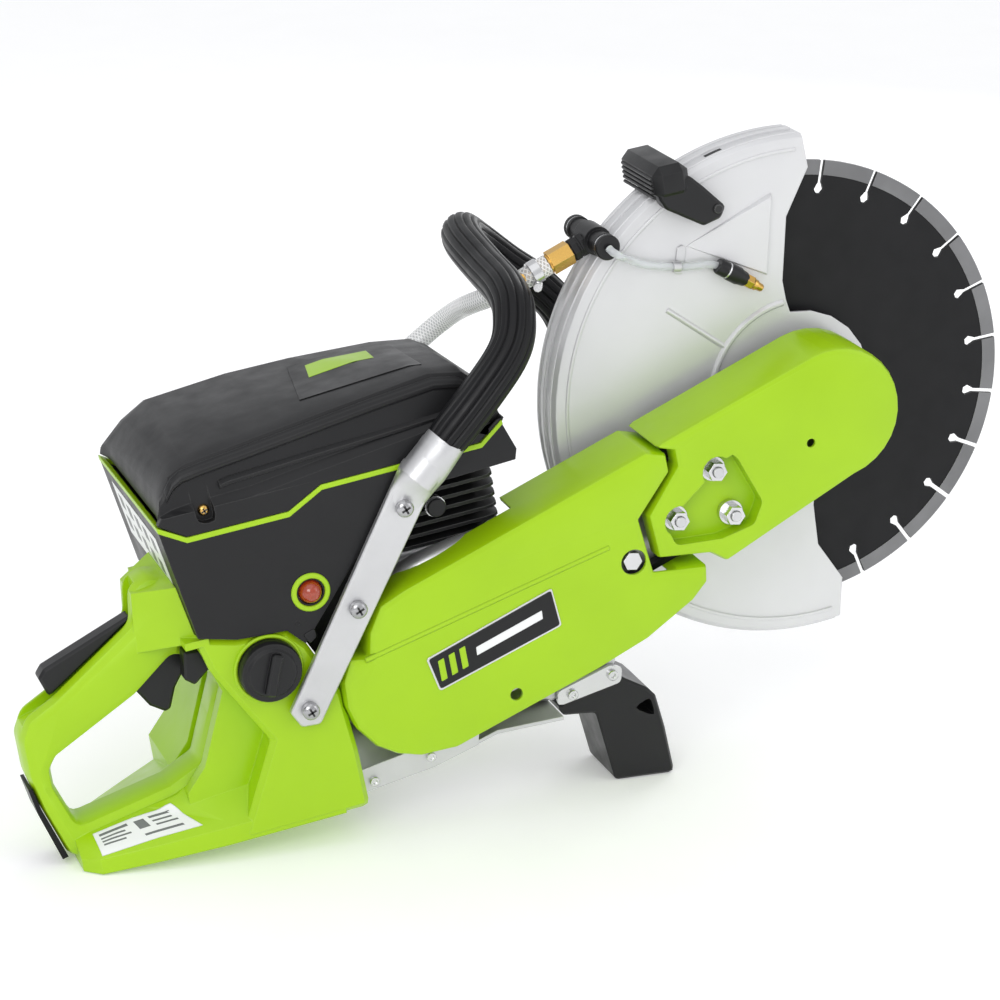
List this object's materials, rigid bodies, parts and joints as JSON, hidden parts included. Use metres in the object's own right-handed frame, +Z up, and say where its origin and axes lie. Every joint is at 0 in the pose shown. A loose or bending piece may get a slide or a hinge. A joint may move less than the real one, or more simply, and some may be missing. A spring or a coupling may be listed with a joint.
{
  "type": "rescue saw",
  "caption": "Petrol cut-off saw for rescue work: toothless diamond disc under a silver guard, belt-drive arm, wrap handle, rear grip, air box and wet-cutting hoses.",
  "frame": {"origin": "centre of the bounding box at the ground the saw stands on", "axes": "+X forward, towards the disc; +Y to the saw's left; +Z up"},
  "size_m": [0.7921, 0.2358, 0.4965],
  "materials": {
    "green_plastic": "satin moulded nylon",
    "black_plastic": "matt moulded nylon",
    "charcoal_plastic": "fine-grained matt nylon",
    "rubber": "matt",
    "guard_paint": "die-cast light alloy, painted silver grey",
    "cast_aluminium": "die-cast, lightly blasted",
    "black_alloy": "die-cast, black",
    "aluminium_tube": "dark drawn tube",
    "zinc_steel": "bright zinc plated",
    "steel": "machined",
    "blade_steel": "black core with grey sintered segments",
    "brass": "turned",
    "clear_hose": "clear PVC with white braid",
    "red_rubber": "translucent",
    "filter_paper": "pleated paper"
  },
  "bodies": {
    "saw": {"rear_housing": "green_plastic", "rear_pad": "rubber", "airbox_housing": "charcoal_plastic", "top_cover": "charcoal_plastic", "cover_pinstripe": "green_plastic", "air_filter": "filter_paper", "carburettor": "cast_aluminium", "cylinder": "black_alloy", "spark_plug": "zinc_steel", "crankcase": "cast_aluminium", "starter_cover": "green_plastic", "muffler": "zinc_steel", "wrap_handle_tube": "aluminium_tube", "wrap_grip": "rubber", "right_handle_bracket": "cast_aluminium", "left_handle_bracket": "cast_aluminium", "bracket_screw_1": "steel", "bracket_screw_2": "steel", "bracket_screw_3": "steel", "rear_belt_cover": "green_plastic", "front_belt_cover": "green_plastic", "belt_arm": "cast_aluminium", "drive_belt": "rubber", "shaft_bearing_outer": "steel", "shaft_bearing_inner": "steel", "tension_bolt": "zinc_steel", "cover_nut_1": "zinc_steel", "cover_nut_2": "zinc_steel", "cover_nut_3": "zinc_steel", "water_hose": "clear_hose", "hose_coupling": "brass", "front_foot": "black_plastic", "foot_strap": "zinc_steel", "belly_plate": "cast_aluminium"},
    "blade": {"diamond_blade": "blade_steel", "inner_flange": "steel", "outer_flange": "steel", "blade_bolt": "zinc_steel", "blade_shaft": "steel", "blade_pulley": "aluminium_tube"},
    "belt_drum": {"drive_pulley": "steel"},
    "crank": {"crankshaft": "steel", "flywheel": "cast_aluminium", "clutch_rotor": "steel"},
    "guard": {"blade_guard": "guard_paint", "guard_handle": "black_plastic", "water_tee": "black_plastic", "brass_fitting": "brass", "near_jet_hose": "clear_hose", "near_nozzle": "black_plastic", "far_jet_hose": "clear_hose", "far_nozzle": "black_plastic"},
    "throttle": {"throttle_trigger": "black_plastic"},
    "lockout": {"trigger_lockout": "black_plastic"},
    "switch": {"stop_switch": "black_plastic"},
    "cap": {"fuel_cap": "black_plastic"},
    "primer": {"primer_bulb": "red_rubber"},
    "valve": {"decompression_valve": "zinc_steel"},
    "pull_grip": {"starter_grip": "rubber"},
    "piston_body": {"piston": "cast_aluminium"}
  },
  "joints": [
    {"name": "blade_spin", "type": "hinge", "parent": "saw", "child": "blade", "pos_m": [0.221, -0.0036, 0.2985], "axis": [0, 1, 0], "continuous": true},
    {"name": "belt_drum_spin", "type": "hinge", "parent": "saw", "child": "belt_drum", "pos_m": [-0.06092, -0.0036, 0.15526], "axis": [0, 1, 0], "continuous": true},
    {"name": "crank_spin", "type": "hinge", "parent": "saw", "child": "crank", "pos_m": [-0.06092, -0.0036, 0.15526], "axis": [0, 1, 0], "continuous": true},
    {"name": "guard_pivot", "type": "hinge", "parent": "saw", "child": "guard", "pos_m": [0.221, -0.0036, 0.2985], "axis": [0, 1, 0], "range_deg": [-15, 60], "deforming": ["water_hose"]},
    {"name": "throttle_squeeze", "type": "hinge", "parent": "saw", "child": "throttle", "pos_m": [-0.27602, -0.0336, 0.15344], "axis": [0, 1, 0], "range_deg": [0, 14], "stiffness_Nm_per_rad": 0.4, "springref_deg": -11.46},
    {"name": "lockout_press", "type": "hinge", "parent": "saw", "child": "lockout", "pos_m": [-0.31284, -0.0336, 0.18333], "axis": [0, 1, 0], "range_deg": [-5, 0], "stiffness_Nm_per_rad": 0.4, "springref_deg": 5.73},
    {"name": "stop_press", "type": "slide", "parent": "saw", "child": "switch", "axis": [0, 1, 0], "range_m": [0, 0.003], "stiffness_N_per_m": 400, "springref_m": -0.002},
    {"name": "cap_turn", "type": "hinge", "parent": "saw", "child": "cap", "pos_m": [-0.22084, -0.0936, 0.14956], "axis": [0, 1, 0], "range_deg": [0, 90]},
    {"name": "primer_press", "type": "slide", "parent": "saw", "child": "primer", "axis": [0, 1, 0], "range_m": [0, 0.0035], "stiffness_N_per_m": 500, "springref_m": -0.001},
    {"name": "valve_press", "type": "slide", "parent": "saw", "child": "valve", "axis": [0, 1, 0], "range_m": [0, 0.003], "stiffness_N_per_m": 800, "springref_m": -0.002},
    {"name": "starter_pull", "type": "slide", "parent": "saw", "child": "pull_grip", "axis": [0.989, 0, 0.1478], "range_m": [0, 0.6], "stiffness_N_per_m": 15, "springref_m": -0.8},
    {"name": "piston_stroke", "type": "slide", "parent": "saw", "child": "piston_body", "axis": [-0.1478, 0, 0.989], "range_m": [-0.016, 0.018]}
  ],
  "couplings": [
    {"joint": "belt_drum_spin", "follows": "blade_spin", "ratio": 1.2667}
  ]
}
